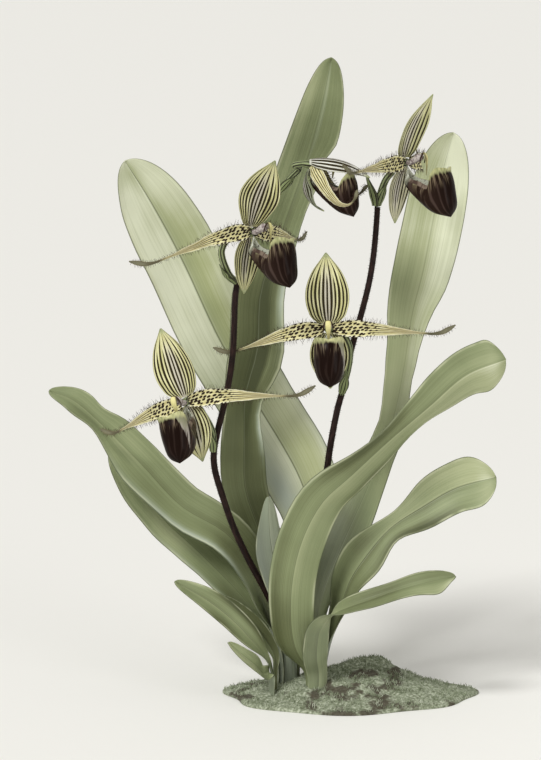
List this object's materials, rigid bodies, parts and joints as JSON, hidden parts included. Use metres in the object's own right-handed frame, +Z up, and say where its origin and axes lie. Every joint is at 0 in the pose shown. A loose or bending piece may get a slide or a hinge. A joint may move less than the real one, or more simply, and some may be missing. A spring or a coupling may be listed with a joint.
{
  "type": "rothschild slipper orchid",
  "caption": "Flowering slipper orchid plant with long strap leaves, tall dark stems, striped sepals, spotted petals and maroon pouches, standing in a low mossy mound.",
  "frame": {"origin": "on the flat underside of the mound, below the crown where the leaf growths stand", "axes": "+Z up the plant; -Y towards the viewer of the picture; +X to the viewer's right"},
  "size_m": [0.4373, 0.2335, 0.6138],
  "materials": {
    "leaf": "satin green leaf",
    "stem": "dark hairy flower stem",
    "sepal": "soft striped sepal",
    "petal": "soft spotted petal",
    "pouch": "satin maroon pouch",
    "column": "downy pale yellow column",
    "ovary": "downy striped ovary and bract",
    "soil": "moss over bark compost"
  },
  "bodies": {
    "root": {"high_left_bract": "ovary", "high_left_column": "column", "high_left_dorsal_sepal": "sepal", "high_left_lower_sepal": "sepal", "high_left_ovary": "ovary", "high_left_petal_left": "petal", "high_left_petal_right": "petal", "high_left_pouch": "pouch", "high_right_bract": "ovary", "high_right_column": "column", "high_right_dorsal_sepal": "sepal", "high_right_lower_sepal": "sepal", "high_right_ovary": "ovary", "high_right_petal_left": "petal", "high_right_petal_right": "petal", "high_right_pouch": "pouch", "high_right_tip_bract": "ovary", "leaf_front_left": "leaf", "leaf_front_right": "leaf", "leaf_low_right": "leaf", "leaf_side_right": "leaf", "leaf_small_middle": "leaf", "leaf_tall_left": "leaf", "leaf_tall_middle": "leaf", "leaf_tall_right": "leaf", "leaf_under_left": "leaf", "leaf_young_long": "leaf", "leaf_young_low": "leaf", "leaf_young_short": "leaf", "low_left_bract": "ovary", "low_left_column": "column", "low_left_dorsal_sepal": "sepal", "low_left_lower_sepal": "sepal", "low_left_ovary": "ovary", "low_left_petal_left": "petal", "low_left_petal_right": "petal", "low_left_pouch": "pouch", "middle_bract": "ovary", "middle_column": "column", "middle_dorsal_sepal": "sepal", "middle_lower_sepal": "sepal", "middle_ovary": "ovary", "middle_petal_left": "petal", "middle_petal_right": "petal", "middle_pouch": "pouch", "opening_bract": "ovary", "opening_column": "column", "opening_dorsal_sepal": "sepal", "opening_lower_sepal": "sepal", "opening_ovary": "ovary", "opening_petal_left": "petal", "opening_petal_right": "petal", "opening_pouch": "pouch", "soil_mound": "soil", "stem_left": "stem", "stem_right": "stem"}
  },
  "joints": []
}
